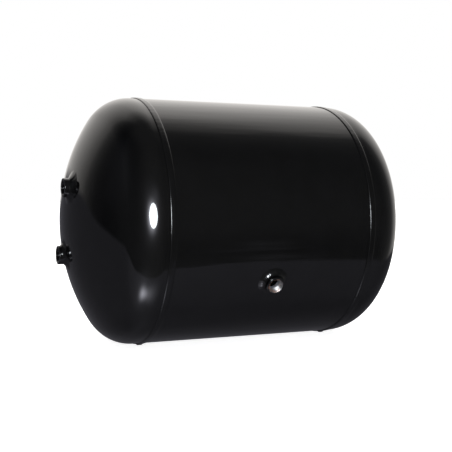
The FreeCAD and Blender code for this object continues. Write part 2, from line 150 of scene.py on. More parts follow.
class TankFinish(bpy.types.PropertyGroup):
    """Colours and surface of the paint and of the bare steel"""
    paint: colour_setting("Paint", "Colour of the black paint", (0.0010, 0.0010, 0.0011))
    paint_thin: colour_setting(
        "Thin Paint", "Colour where the paint is thinner", (0.0016, 0.0016, 0.0018))
    paint_roughness: FloatProperty(
        name="Paint Roughness", description="Roughness of the clear top of the paint",
        default=0.035, min=0.0, max=1.0)
    bare_steel: colour_setting("Bare Steel", "Colour of the cut thread", (0.25, 0.242, 0.24))
    rust: colour_setting("Rust", "Colour of the first rust in a bore", (0.42, 0.16, 0.07))
    mill_scale: colour_setting(
        "Mill Scale", "Colour of the unpainted inside", (0.10, 0.10, 0.11))


class TankStudio(bpy.types.PropertyGroup):
    """Light and camera of the studio"""
    lens: FloatProperty(
        name="Lens", description="Focal length in millimetres", default=67.82)
    camera_distance: length_setting(
        "Camera Distance", "From the tank to the camera", 1455.0)
    camera_azimuth: angle_setting(
        "Camera Azimuth", "Turn of the camera round the tank from the front", -23.62)
    camera_elevation: angle_setting(
        "Camera Elevation", "Height of the camera above the horizontal", 1.905)
    key_radiance: FloatProperty(
        name="Key Brightness", description="Brightness of the softbox", default=34.0)
    floor_glow: FloatProperty(
        name="Floor Glow", description="Light that the pale floor gives by itself",
        default=0.90)


def sizes():
    return bpy.context.scene.tank_sizes


def finish_of():
    return bpy.context.scene.tank_finish


def studio():
    return bpy.context.scene.tank_studio


# ---------------------------------------------------------------- patches of a skin

CUT_SLACK = 1e-7
JOIN_STEP = 1e-6                        # points of two patches closer than this are one point
JOIN_SHIFT = 0.137                      # keeps round measures off the limits between two steps


def on_axis(station, across, up):
    """Points given from the tank's axis, in the frame of the model."""
    return np.stack([station, across + AXIS.y, up + AXIS.z], axis=-1)


def around(angle):
    """Across and up of the direction at an angle, from +Y towards +Z."""
    return np.cos(angle), np.sin(angle)


def swept(station, radius, angle, way=1.0):
    """Points turned about the tank's axis to an angle, end for end where way is -1."""
    across, up = around(angle)
    return on_axis(way * station, way * radius * across, radius * up)


def swept_aims(along, away, angle, way=1.0):
    """Directions with a part along the axis and a part away from it, turned like the points."""
    across, up = around(angle)
    return np.stack([way * along + 0.0 * across, way * away * across, away * up], axis=-1)


def grid_aims(points, wrap):
    """Outward directions of a bumpy grid, from its neighbours on all sides."""
    down = np.gradient(points, axis=0)
    if wrap:
        along = np.roll(points, -1, axis=1) - np.roll(points, 1, axis=1)
    else:
        along = np.gradient(points, axis=1)
    aims = np.cross(down, along)
    return aims / np.linalg.norm(aims, axis=-1, keepdims=True)


def grid_patch(rows, columns, shape, wrap=False, slot=0, out=None):
    """Quads over rows and columns.

    shape gives the points and their outward directions, or None for directions worked out from
    the grid, which then follow out, a rough outward direction for each point.
    """
    row, column = np.meshgrid(np.asarray(rows, float), np.asarray(columns, float), indexing="ij")
    points, aims = shape(row, column)
    if aims is None:
        aims = grid_aims(points, wrap)
        if np.sum(aims * out(row, column)) < 0.0:
            aims = -aims
    high, wide = row.shape
    steps = np.arange(wide if wrap else wide - 1)
    first = (np.arange(high - 1)[:, None] * wide + steps[None, :]).ravel()
    second = (np.arange(high - 1)[:, None] * wide + (steps[None, :] + 1) % wide).ravel()
    quads = np.stack([first, second, second + wide, first + wide], axis=1)
    return turned_out(points.reshape(-1, 3), aims.reshape(-1, 3), quads, slot)


def plate_patch(spots, rings, lift, slot=0):
    """Triangles over flat spots with round holes, lifted onto a curved skin."""
    fence = []
    inside = []
    for ring in rings:
        fence += [(ring[k], ring[(k + 1) % len(ring)]) for k in range(len(ring))]
        inside.append(set(ring))
    flat = [Vector((float(a), float(b))) for a, b in spots]
    made = geometry.delaunay_2d_cdt(flat, fence, [], 0, CUT_SLACK)
    source = [links[0] for links in made[3]]
    triangles = []
    for face in made[2]:
        corners = tuple(source[k] for k in face)
        if not any(ring.issuperset(corners) for ring in inside):
            triangles.append(corners)
    points, aims = lift(np.asarray(spots, float))
    return turned_out(points, aims, np.asarray(triangles), slot)


def turned_out(points, aims, faces, slot):
    """A patch whose faces all look the way of its outward directions."""
    a, b, c = (points[faces[:, k]] for k in (0, 1, 2))
    facing = np.cross(b - a, c - a)
    if np.sum(facing * aims[faces[:, 0]]) < 0.0:
        faces = faces[:, ::-1]
    return points, aims, faces, slot


def join_skin(name, patches, materials):
    """One closed mesh from patches that meet edge to edge, with its own outward directions."""
    points = np.concatenate([patch[0] for patch in patches])
    aims = np.concatenate([patch[1] for patch in patches])
    keys = np.floor(points / JOIN_STEP + JOIN_SHIFT).astype(np.int64)
    _, kept, merged = np.unique(keys, axis=0, return_index=True, return_inverse=True)
    merged = merged.reshape(-1)
    faces, corners, slots = [], [], []
    start = 0
    for patch_points, _, patch_faces, slot in patches:
        shifted = patch_faces + start
        faces += merged[shifted].tolist()
        corners.append(shifted.ravel())
        slots += [slot] * len(patch_faces)
        start += len(patch_points)
    mesh = bpy.data.meshes.new(name)
    mesh.from_pydata(points[kept].tolist(), [], faces)
    mesh.polygons.foreach_set("material_index", slots)
    mesh.polygons.foreach_set("use_smooth", [True] * len(faces))
    mesh.normals_split_custom_set(aims[np.concatenate(corners)].tolist())
    for material in materials:
        mesh.materials.append(material)
    check_closed(name, mesh)
    return link_new(name, mesh)


def make_piece(name, replaced, patches, materials):
    """One piece of the tank, in place of its plain node of the frame."""
    piece = join_skin(name, patches, materials)
    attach(piece, "root")
    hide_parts(replaced)


def link_new(name, data):
    """A new object in the scene."""
    made = bpy.data.objects.new(name, data)
    bpy.context.scene.collection.objects.link(made)
    return made


def check_closed(name, mesh):
    """Stop if the skin has an open edge or an edge with three faces."""
    probe = bmesh.new()
    probe.from_mesh(mesh)
    loose = sum(1 for edge in probe.edges if not edge.is_manifold)
    probe.free()
    if loose:
        raise RuntimeError("%s has %d open edges" % (name, loose))


def lathe_patch(profile, angles, way=1.0, slot=0):
    """A profile of (station, radius, outward along, outward away) turned about the tank's axis."""
    line = np.asarray(profile, float)

    def shape(row, column):
        station, radius, along, away = (line[row.astype(int), k] for k in range(4))
        return swept(station, radius, column, way), swept_aims(along, away, column, way)

    return grid_patch(range(len(line)), angles, shape, wrap=True, slot=slot)


def whole_turn(count):
    return np.arange(count) * FULL_TURN / count


def circle(centre, radius, count):
    """Spots round a circle on a flat plate."""
    return [(centre[0] + radius * math.cos(a), centre[1] + radius * math.sin(a))
            for a in whole_turn(count)]


def wander(angle, seed, waves=(2, 3, 5, 9, 14, 23)):
    """A smooth irregular wave round a full turn, between about -1 and 1."""
    draw = random.Random(seed)
    total = np.zeros_like(angle)
    for wave in waves:
        height = draw.uniform(0.4, 1.0)
        total = total + height * np.sin(wave * angle + draw.uniform(0.0, FULL_TURN))
    return total / len(waves)


def ripple(along, across, lag):
    """Scale-like wave of a weld from 0 to 1, whose crests trail towards the edges."""
    phase = FULL_TURN * (along - lag * across ** 2)
    return 0.5 - 0.5 * np.cos(phase + 0.5 * np.sin(phase))


# ---------------------------------------------------------------- places of the bosses

def head_boss_spots(side):
    """Across and up of a head's two bosses from the tank's axis."""
    spots = {}
    for level in LEVELS:
        centre = middle_of("%s_%s_boss" % (side, level))
        spots[level] = (centre.y - AXIS.y, centre.z - AXIS.z)
    return spots


def shell_boss_line():
    """Station of the shell boss and the angle of its axis round the tank."""
    centre = middle_of("shell_boss")
    return centre.x, math.atan2(centre.z - AXIS.z, centre.y - AXIS.y)


def hole_radius():
    return BOSS_RADIUS + sizes().boss_fit


# ---------------------------------------------------------------- pressed heads

HOLE_POINTS = 64
HALO_STEPS = (0.0, 0.8 * MM, 2.0 * MM, 4.0 * MM)    # rings of spots outside the edge of a hole
PLATE_STEP = 4.0 * MM
RING_TURN = 0.37                        # each ring of a dish starts a little further round
FLANGE_STEPS = 3
KNUCKLE_STEPS = 28
INNER_KNUCKLE_STEPS = 16


def clear_of_hole():
    """Distance from a hole's middle that the other spots of its plate keep."""
    return hole_radius() + HALO_STEPS[-1] + 0.5 * PLATE_STEP


def crown_angle():
    """Angle from the tank's axis at which the crown meets the knuckle."""
    knuckle = sizes().knuckle_radius
    return math.asin((OUTER_RADIUS - knuckle) / (sizes().crown_radius - knuckle))


def disc_spots(edge_radius, holes):
    """Spots over a disc with round holes: its rim, rings inside it, and rings round each hole."""
    rings = []
    spots = circle((0.0, 0.0), edge_radius, sizes().segments)
    count = int(edge_radius / PLATE_STEP)
    for ring in range(1, count + 1):
        radius = edge_radius * (1.0 - ring / count)
        around_ring = max(1, int(sizes().segments * radius / edge_radius))
        for angle in whole_turn(around_ring) + RING_TURN * ring:
            spot = (radius * math.cos(angle), radius * math.sin(angle))
            if all(math.dist(spot, hole) > clear_of_hole() for hole in holes):
                spots.append(spot)
    for hole in holes:
        rings.append(list(range(len(spots), len(spots) + HOLE_POINTS)))
        for step in HALO_STEPS:
            spots += circle(hole, hole_radius() + step, HOLE_POINTS)
    return spots, rings


def crown_height(radius, spots):
    """Stations of the dish's centre, and of its skin over spots given from the tank's axis."""
    centre = HEAD_APEX - sizes().crown_radius
    return centre, centre + np.sqrt(radius ** 2 - spots[..., 0] ** 2 - spots[..., 1] ** 2)


def crown_patch(radius, facing, holes, way, slot):
    """Outer or inner face of the dish, with its two holes."""
    spots, rings = disc_spots(radius * math.sin(crown_angle()), holes)

    def lift(flat):
        centre, station = crown_height(radius, flat)
        points = on_axis(way * station, way * flat[:, 0], flat[:, 1])
        aims = np.stack([way * (station - centre), way * flat[:, 0], flat[:, 1]], axis=-1)
        return points, facing * aims / radius

    return plate_patch(spots, rings, lift, slot)


def head_hole_patch(hole, way, slot):
    """Wall of one hole through the dish."""
    outer_radius, inner_radius = sizes().crown_radius, sizes().crown_radius - sizes().wall

    def shape(row, column):
        across, up = around(column)
        flat = np.stack([hole[0] + hole_radius() * across, hole[1] + hole_radius() * up], axis=-1)
        outer = crown_height(outer_radius, flat)[1]
        inner = crown_height(inner_radius, flat)[1]
        station = outer + row * (inner - outer)
        points = on_axis(way * station, way * flat[..., 0], flat[..., 1])
        return points, np.stack([0.0 * across, -way * across, -up], axis=-1)

    return grid_patch((0.0, 1.0), whole_turn(HOLE_POINTS), shape, wrap=True, slot=slot)


def arc_profile(centre, radius, start, end, count, facing):
    """Round stretch of a profile, turned outwards or inwards."""
    line = []
    for angle in np.linspace(start, end, count + 1):
        along, away = math.cos(angle), math.sin(angle)
        line.append((centre[0] + radius * along, centre[1] + radius * away,
                     facing * along, facing * away))
    return line


def straight_profile(start, end, count=1):
    """Straight stretch of a profile, whose outward side is on the right of the way it runs."""
    run, rise = end[0] - start[0], end[1] - start[1]
    stretch = math.hypot(run, rise)
    return [(x, r, rise / stretch, -run / stretch)
            for x, r in zip(np.linspace(start[0], end[0], count + 1),
                            np.linspace(start[1], end[1], count + 1))]


def straight_profiles(corners):
    """Straight stretches from corner to corner."""
    return [straight_profile(start, end) for start, end in zip(corners, corners[1:])]


def head_patches(side):
    """Skin of one pressed head: dish, knuckle, straight flange, joggled lip and the inside."""
    way = SIDES[side]
    wall = sizes().wall
    knuckle = sizes().knuckle_radius
    turn = crown_angle()
    span = (sizes().crown_radius - knuckle) * math.cos(turn)
    bend = HEAD_APEX - sizes().crown_radius + span
    edge = 2.0 * BEAD_STATION - SHELL_HALF_LENGTH
    corner = (bend, OUTER_RADIUS - knuckle)
    lip_top = OUTER_RADIUS - wall - sizes().lip_clearance
    joggle = edge + sizes().joggle_length
    painted, bare = 0, 1
    outside = [
        arc_profile(corner, knuckle, turn, math.pi / 2, KNUCKLE_STEPS, 1.0),
        straight_profile((bend, OUTER_RADIUS), (edge, OUTER_RADIUS), FLANGE_STEPS),
    ]
    inside = straight_profiles([
        (edge, OUTER_RADIUS), (edge, lip_top), (LIP_END, lip_top), (LIP_END, lip_top - wall),
        (edge, lip_top - wall), (joggle, OUTER_RADIUS - wall), (bend, OUTER_RADIUS - wall)])
    inside.append(arc_profile(corner, knuckle - wall, math.pi / 2, turn, INNER_KNUCKLE_STEPS, -1.0))
    angles = whole_turn(sizes().segments)
    holes = [(way * across, up) for across, up in head_boss_spots(side).values()]
    patches = [lathe_patch(line, angles, way, painted) for line in outside]
    patches += [lathe_patch(line, angles, way, bare) for line in inside]
    patches.append(crown_patch(sizes().crown_radius, 1.0, holes, way, painted))
    patches.append(crown_patch(sizes().crown_radius - wall, -1.0, holes, way, bare))
    patches += [head_hole_patch(hole, way, bare) for hole in holes]
    return patches


# ---------------------------------------------------------------- rolled shell

SHEET_COLUMNS = 30


def sheet_angle(part, radius):
    """Angle round the tank of a spot on the rolled sheet: part goes from 0 to 1 round it."""
    gap = np.arcsin(sizes().seam_gap / 2 / radius)
    return sizes().seam_angle + gap + part * (FULL_TURN - 2.0 * gap)


def sheet_part(angle, radius):
    """Where round the sheet an angle falls, from 0 to 1."""
    gap = math.asin(sizes().seam_gap / 2 / radius)
    return ((angle - sizes().seam_angle) % FULL_TURN - gap) / (FULL_TURN - 2.0 * gap)


def wall_radius(row):
    """Radius in the shell's wall, from its outside at 0 to its inside at 1."""
    return OUTER_RADIUS - row * sizes().wall


def hole_spots(radius, reach):
    """Ring of spots round the shell boss on the flat sheet, reach from the boss's axis."""
    station, angle = shell_boss_line()
    girth = FULL_TURN * radius
    spots = []
    for turn in whole_turn(HOLE_POINTS):
        swing = angle + math.asin(reach * math.sin(turn) / radius)
        spots.append((station + reach * math.cos(turn), girth * sheet_part(swing, radius)))
    return spots


def sheet_patch(radius, facing, slot):
    """Outer or inner face of the rolled sheet, with its hole, laid out flat and then rolled."""
    girth = FULL_TURN * radius
    stations = np.linspace(-SHELL_HALF_LENGTH, SHELL_HALF_LENGTH, SHEET_COLUMNS + 1)
    parts = np.linspace(0.0, 1.0, sizes().segments + 1)
    station, angle = shell_boss_line()
    centre = (station, girth * sheet_part(angle, radius))
    spots = [(x, girth * p) for x in stations for p in parts
             if math.dist((x, girth * p), centre) > clear_of_hole()]
    ring = list(range(len(spots), len(spots) + HOLE_POINTS))
    for step in HALO_STEPS:
        spots += hole_spots(radius, hole_radius() + step)

    def lift(flat):
        turn = sheet_angle(flat[:, 1] / girth, radius)
        return swept(flat[:, 0], radius, turn), swept_aims(0.0, facing, turn)

    return plate_patch(spots, [ring], lift, slot)


def shell_end_patch(way, slot):
    """Edge of the sheet at one end of the shell."""
    def shape(row, column):
        radius = wall_radius(row)
        turn = sheet_angle(column, radius)
        return swept(way * SHELL_HALF_LENGTH + 0.0 * row, radius, turn), swept_aims(way, 0.0, turn)

    return grid_patch((0.0, 1.0), np.linspace(0.0, 1.0, sizes().segments + 1), shape, slot=slot)


def seam_edge_patch(part, slot):
    """Edge of the sheet along the lengthwise seam: part is 0 above the gap and 1 below it."""
    facing = 1.0 if part > 0.5 else -1.0

    def shape(row, column):
        radius = wall_radius(row)
        side = sizes().seam_angle + math.pi / 2 + 0.0 * row
        return swept(column, radius, sheet_angle(part, radius)), swept_aims(0.0, facing, side)

    stations = np.linspace(-SHELL_HALF_LENGTH, SHELL_HALF_LENGTH, SHEET_COLUMNS + 1)
    return grid_patch((0.0, 1.0), stations, shape, slot=slot)


def shell_hole_patch(slot):
    """Wall of the hole for the shell boss."""
    station, line = shell_boss_line()

    def shape(row, column):
        radius = wall_radius(row)
        along, side = np.cos(column), np.sin(column)
        turn = line + np.arcsin(hole_radius() * side / radius)
        return (swept(station + hole_radius() * along, radius, turn),
                swept_aims(-along, -side, line + math.pi / 2 + 0.0 * row))

    return grid_patch((0.0, 1.0), whole_turn(HOLE_POINTS), shape, wrap=True, slot=slot)


def shell_patches():
    painted, bare = 0, 1
    return [
        sheet_patch(OUTER_RADIUS, 1.0, painted),
        sheet_patch(OUTER_RADIUS - sizes().wall, -1.0, bare),
        shell_end_patch(-1.0, bare),
        shell_end_patch(1.0, bare),
        seam_edge_patch(0.0, bare),
        seam_edge_patch(1.0, bare),
        shell_hole_patch(bare),
    ]


# ---------------------------------------------------------------- girth welds

RIPPLE_SAMPLES = 5
CAP_ROWS = 20
CAP_INSET = 0.03 * MM                   # keeps the cap's crest just inside the frame's box
CAP_FULLNESS = 0.82                     # share of a plain parabola in a weld's rounded section
# How flat a girth weld's top is before its toes: the torch leaned, so one toe is gentler.
STEEP_POWER = 9.0
GENTLE_POWER = 3.6
# Where a girth weld starts and stops: angle round the tank, height and length of the proud spot,
# and the dip beside it, as a share of the height and a number of lengths away.
LUMPS = ((math.radians(260.0), 1.6 * MM, 2.6 * MM), (math.radians(218.5), 1.2 * MM, 1.0 * MM))
DIP_SHARE = 0.35
DIP_PLACE = 2.2
# How the toes, the height and the ripples wander: how far, with which waves and which seeds.
WOBBLE = {"left": 0.22 * MM, "right": 0.45 * MM}
WOBBLE_WAVES = (13, 29, 53, 88, 109, 127, 151)
TOE_SEEDS = {"left": 11.0, "right": 17.0}
HEIGHT_SWAY = 0.08
HEIGHT_WAVES = (3, 8, 19, 41, 97, 124)
CAP_SEEDS = {"left": 5, "right": 8}
GIRTH_RIPPLE_LAG = 0.55
GIRTH_RIPPLE_SWAY = 0.4
GIRTH_RIPPLE_WAVES = (5, 11, 31)


def cap_height(across):
    """Rounded section of a weld's cap, from 1 in the middle to 0 at its toes."""
    round_part = 1.0 - across ** 2
    return round_part * (CAP_FULLNESS + (1.0 - CAP_FULLNESS) * round_part)


def band_height(across, way):
    """Flat-topped section of a girth weld's cap, from 1 in the middle to 0 at its toes."""
    power = np.where(across * way > 0.0, GENTLE_POWER, STEEP_POWER)
    return np.sqrt(1.0 - np.minimum(np.abs(across), 1.0) ** power)


def girth_toe(side, angle, edge):
    """Station of a girth weld's toe: edge is -1 on the shell and 1 on the head."""
    wave = wander(angle, TOE_SEEDS[side] + edge, WOBBLE_WAVES)
    return BEAD_STATION + edge * (BEAD_WIDTH / 2 - WOBBLE[side] * (0.5 + 0.5 * wave))


def girth_lumps(angle, way):
    """Small proud spots where the weld was started and stopped, each with a dip beside it."""
    total = np.zeros_like(angle)
    for place, height, length in LUMPS:
        from_place = angle - place if way > 0.0 else math.pi - angle - place
        swing = (from_place + math.pi) % FULL_TURN - math.pi
        along = swing * OUTER_RADIUS / length
        total += height * (np.exp(-along ** 2) - DIP_SHARE * np.exp(-(along - DIP_PLACE) ** 2))
    return total


def girth_patches(side):
    """Skin of one girth weld: rippled cap, and the root that fills the gap down to the lip."""
    way, seed = SIDES[side], CAP_SEEDS[side]
    count = int(round(FULL_TURN * OUTER_RADIUS / sizes().ripple_pitch))
    angles = whole_turn(count * RIPPLE_SAMPLES)
    near, far = SHELL_HALF_LENGTH, 2.0 * BEAD_STATION - SHELL_HALF_LENGTH
    root = OUTER_RADIUS - sizes().wall - sizes().lip_clearance

    def cap(row, column):
        low, high = (girth_toe(side, column, edge) for edge in (-1.0, 1.0))
        station = (low + high) / 2 + row * (high - low) / 2
        sway = HEIGHT_SWAY * (1.0 + wander(column, seed, HEIGHT_WAVES))
        height = (BEAD_HEIGHT - CAP_INSET) * (1.0 - sway) + girth_lumps(column, way)
        drift = GIRTH_RIPPLE_SWAY * wander(column, seed + 1, GIRTH_RIPPLE_WAVES)
        scale = ripple(column * count / FULL_TURN + drift, row, GIRTH_RIPPLE_LAG)
        body = band_height(row, way) * (height - sizes().ripple_depth * scale)
        return swept(station, OUTER_RADIUS + body, column, way), None

    def cap_out(row, column):
        return swept_aims(0.0, 1.0, column, way)

    def toe_strip(edge, station):
        """Underside of the cap, from a toe to the edge of the gap."""
        def shape(row, column):
            toe = girth_toe(side, column, edge)
            return (swept(toe + row * (station - toe), OUTER_RADIUS, column, way),
                    swept_aims(0.0, -1.0, column, way))
        return grid_patch((0.0, 1.0), angles, shape, wrap=True)

    rows = np.sin(np.linspace(-math.pi / 2, math.pi / 2, CAP_ROWS + 1))
    gap_walls = straight_profiles([(near, OUTER_RADIUS), (near, root), (far, root),
                                   (far, OUTER_RADIUS)])
    return [
        grid_patch(rows, angles, cap, wrap=True, out=cap_out),
        toe_strip(-1.0, near),
        toe_strip(1.0, far),
    ] + [lathe_patch(line, angles, way) for line in gap_walls]


# ---------------------------------------------------------------- lengthwise seam weld

SEAM_HALF_WIDTH = 2.5 * MM
SEAM_HEIGHT = 0.66 * MM
SEAM_ROWS = 8
SEAM_RIPPLE_LAG = 0.5
SEAM_PITCH_SHARE = 0.7                  # the straight weld's ripples are finer and shallower
SEAM_RIPPLE_SHARE = 0.6
SEAM_LEVEL = 0.93
SEAM_SWAY = 0.06
SEAM_SWAY_LENGTH = 1.0 / 9.0
SEAM_SEED = 41


def seam_patches():
    """Skin of the straight weld along the shell, with a flat end at each side."""
    outer, inner = OUTER_RADIUS, OUTER_RADIUS - sizes().wall
    half_gap = sizes().seam_gap / 2
    pitch = sizes().ripple_pitch * SEAM_PITCH_SHARE
    count = int(round(2.0 * SHELL_HALF_LENGTH / pitch)) * RIPPLE_SAMPLES
    stations = np.linspace(-SHELL_HALF_LENGTH, SHELL_HALF_LENGTH, count + 1)
    cosine, sine = math.cos(sizes().seam_angle), math.sin(sizes().seam_angle)

    def turned_to_seam(station, height, across):
        """Height over the axis and distance across, turned to where the seam lies."""
        return station, height * cosine - across * sine, height * sine + across * cosine

    def cap(row, column):
        across = row * SEAM_HALF_WIDTH
        base = np.sqrt(outer ** 2 - across ** 2)
        scale = sizes().ripple_depth * ripple(column / pitch, row, SEAM_RIPPLE_LAG)
        uneven = SEAM_SWAY * wander(column / SEAM_SWAY_LENGTH, SEAM_SEED)
        height = SEAM_HEIGHT * (SEAM_LEVEL + uneven) - SEAM_RIPPLE_SHARE * scale
        return on_axis(*turned_to_seam(column, base + cap_height(row) * height, across)), None

    def cap_out(row, column):
        return np.stack(turned_to_seam(0.0 * row, 1.0 + 0.0 * row, 0.0 * row), axis=-1)

    def face(profile):
        (start_radius, start, along, away), (end_radius, end, _, _) = profile

        def shape(row, column):
            across = start + row * (end - start)
            radius = start_radius + row * (end_radius - start_radius)
            height = np.sqrt(radius ** 2 - across ** 2)
            flat = np.zeros_like(column)
            return (on_axis(*turned_to_seam(column, height, across)),
                    np.stack(turned_to_seam(flat, along + flat, away + flat), axis=-1))
        return grid_patch((0.0, 1.0), stations, shape)

    rows = np.linspace(-1.0, 1.0, SEAM_ROWS + 1)
    under = straight_profiles([(outer, SEAM_HALF_WIDTH), (outer, half_gap), (inner, half_gap),
                               (inner, -half_gap), (outer, -half_gap), (outer, -SEAM_HALF_WIDTH)])
    skin = [grid_patch(rows, stations, cap, out=cap_out)] + [face(line) for line in under]
    return skin + [seam_end_patch(skin, rows, stations, end) for end in (0, -1)]


def seam_end_patch(skin, rows, stations, end):
    """Flat end of the lengthwise weld: one face through the last points of its skin."""
    cap = skin[0][0].reshape(len(rows), len(stations), 3)[:, end]
    under = [patch[0].reshape(2, len(stations), 3)[1, end] for patch in skin[1:-1]]
    points = np.concatenate([cap, np.asarray(under)])
    aims = np.zeros_like(points)
    aims[:, 0] = -1.0 if end == 0 else 1.0
    middle = len(rows) // 2
    count = len(points)
    fans = [(middle, k % count, (k + 1) % count) for k in range(middle + 1, middle + count - 1)]
    return turned_out(points, aims, np.asarray(fans), 0)


# ---------------------------------------------------------------- threaded bosses

BOSS_SEGMENTS = 96
THREAD_SAMPLES = 10
EDGE_STEPS = 6
THREAD_SLOPE = 1.25                     # flanks steeper than 1 leave flats at crest and root


def boss_frame(face, out):
    """Middle and outward axis of a boss, and a function for the direction at an angle round it."""
    out = Vector(out).normalized()
    side = out.orthogonal().normalized()
    base, axis_out, axis_a, axis_b = (np.asarray(v) for v in (face, out, side, out.cross(side)))

    def arm_of(angle):
        return np.cos(angle)[..., None] * axis_a + np.sin(angle)[..., None] * axis_b

    return base, axis_out, arm_of


def boss_patches(face, out, length, painted_depth):
    """Skin of one turned boss: face is the middle of its outer face and out points away.

    The paint reaches into the bore down to a depth. Past it the thread is bare, and deeper still
    it is given the dark inside steel as painted shade.
    """
    base, axis_out, arm_of = boss_frame(face, out)
    edge = sizes().boss_edge
    bore, mouth = sizes().bore_radius, sizes().mouth_radius
    pitch = sizes().thread_pitch
    angles = whole_turn(BOSS_SEGMENTS)
    # Slot 2 holds the dark inside steel: painted shade deep in the bore, and the unpainted inner
    # end of the boss.
    painted, bare, scale_and_shade = 0, 1, 2

    def place(depth, radius, angle):
        return base - depth[..., None] * axis_out + radius[..., None] * arm_of(angle)

    def turned(profile, slot):
        line = np.asarray(profile, float)

        def shape(row, column):
            depth, radius, along, away = (line[row.astype(int), k] for k in range(4))
            aims = along[..., None] * axis_out + away[..., None] * arm_of(column)
            return place(depth, radius, column), aims
        return grid_patch(range(len(line)), angles, shape, wrap=True, slot=slot)

    def thread(row, column):
        turn = row / pitch - column / FULL_TURN
        wave = THREAD_SLOPE * (np.abs(2.0 * (turn % 1.0) - 1.0) - 0.5) + 0.5
        depth = np.clip(wave, 0.0, 1.0) * sizes().thread_depth
        fade = np.clip((length - row) / pitch, 0.0, 1.0)
        return place(row, np.maximum(bore + depth * fade, mouth - row), column), None

    def thread_out(row, column):
        return -arm_of(column)

    round_edge = [(edge - edge * math.cos(angle), BOSS_RADIUS - edge + edge * math.sin(angle),
                   math.cos(angle), math.sin(angle))
                  for angle in np.linspace(0.0, math.pi / 2, EDGE_STEPS + 1)]
    step = pitch / THREAD_SAMPLES
    depths = np.linspace(0.0, length, int(round(length / step)) + 1)
    # The last stretch of each bore, past the bright depth, is painted shade.
    limits = [0, int(round(painted_depth / step)), int(round(sizes().bright_thread / step)),
              len(depths) - 1]
    bore_patches = [grid_patch(depths[first:last + 1], angles, thread, wrap=True, slot=slot,
                               out=thread_out)
                    for first, last, slot in zip(limits, limits[1:], (painted, bare, scale_and_shade))
                    if last > first]
    return bore_patches + [
        turned([(0.0, mouth, 1.0, 0.0), (0.0, BOSS_RADIUS - edge, 1.0, 0.0)], painted),
        turned(round_edge, painted),
        turned([(edge, BOSS_RADIUS, 0.0, 1.0), (length, BOSS_RADIUS, 0.0, 1.0)], painted),
        turned([(length, BOSS_RADIUS, -1.0, 0.0), (length, bore, -1.0, 0.0)], scale_and_shade),
    ]


def head_boss_face(side, level):
    """Middle of a head boss's outer face, and the way it looks."""
    centre = middle_of("%s_%s_boss" % (side, level))
    out = Vector((SIDES[side], 0.0, 0.0))
    return centre + out * HEAD_BOSS_LENGTH / 2, out


def shell_boss_face():
    """Middle of the shell boss's outer face, and the way it looks."""
    angle = shell_boss_line()[1]
    out = Vector((0.0, math.cos(angle), math.sin(angle)))
    return middle_of("shell_boss") + out * sizes().shell_boss_length / 2, out


def all_bosses():
    """Name, face, length, depth of paint in the bore, seat and weld spread of each boss."""
    for side in SIDES:
        for level in LEVELS:
            yield ("%s_%s" % (side, level), head_boss_face(side, level), HEAD_BOSS_LENGTH,
                   sizes().painted_thread, crown_seat(side), sizes().head_weld_spread)
    yield ("shell", shell_boss_face(), sizes().shell_boss_length, 0.0, shell_seat(),
           sizes().shell_weld_spread)


# ---------------------------------------------------------------- fillet welds round the bosses

WELD_SEGMENTS = 288
WELD_RIPPLES = 36
WELD_ROWS = 16
WELD_FOOT_ROWS = 4
WELD_FILL = 1.1 * MM                    # how much fuller a weld is than a plain hollow
FILL_LEVEL = 0.85
FILL_SWAY = 0.35
TOE_SWAY = 0.10
TOP_SWAY = 0.08
BOSS_RIPPLE_LAG = 0.6
BOSS_RIPPLE_SWAY = 0.25
TOE_WAVES = (2, 3, 5, 9, 14)
TOP_WAVES = (2, 3, 5, 8)
FILL_WAVES = (2, 3, 5, 8, 13)
FIRST_WELD_SEED = 60
WELD_SEED_STEP = 10


def boss_weld_patches(face, out, seat, spread, seed):
    """Skin of a fillet weld between a boss and the sheet, with a longer leg on the sheet.

    seat holds two functions: the spot of the sheet over a point beside the boss, and the way the
    sheet looks there.
    """
    skin_point, skin_aim = seat
    base, axis_out, arm_of = boss_frame(face, out)
    angles = whole_turn(WELD_SEGMENTS)

    def on_sheet(angle, reach):
        return skin_point(base + (BOSS_RADIUS + reach)[..., None] * arm_of(angle))

    def toe_reach(angle):
        return spread * (1.0 + TOE_SWAY * wander(angle, seed + 5, TOE_WAVES))

    def top_of(angle):
        """Height of the weld on the boss, over the sheet."""
        return sizes().boss_weld_rise * (1.0 + TOP_SWAY * wander(angle, seed + 7, TOP_WAVES))

    def cap(row, column):
        turn = (row + 1.0) * math.pi / 4
        away = toe_reach(column) * (1.0 - np.cos(turn))
        height = top_of(column) * (1.0 - np.sin(turn))
        along = column * WELD_RIPPLES / FULL_TURN + BOSS_RIPPLE_SWAY * wander(column, seed + 3)
        scale = sizes().ripple_depth * ripple(along, row, BOSS_RIPPLE_LAG)
        level = FILL_LEVEL + FILL_SWAY * wander(column, seed, FILL_WAVES)
        fill = (1.0 - row ** 2) * (level * WELD_FILL - scale)
        lean = (arm_of(column) + axis_out) / math.sqrt(2.0)
        return on_sheet(column, away) + height[..., None] * axis_out + fill[..., None] * lean, None

    def cap_out(row, column):
        return arm_of(column) + axis_out

    def under(row, column):
        spots = on_sheet(column, toe_reach(column) * (1.0 - row))
        return spots, -skin_aim(spots)

    def beside(row, column):
        height = top_of(column) * row
        return on_sheet(column, 0.0 * row) + height[..., None] * axis_out, -arm_of(column)

    return [
        grid_patch(np.linspace(-1.0, 1.0, WELD_ROWS + 1), angles, cap, wrap=True, out=cap_out),
        grid_patch(np.linspace(0.0, 1.0, WELD_FOOT_ROWS + 1), angles, under, wrap=True),
        grid_patch((0.0, 1.0), angles, beside, wrap=True),
    ]


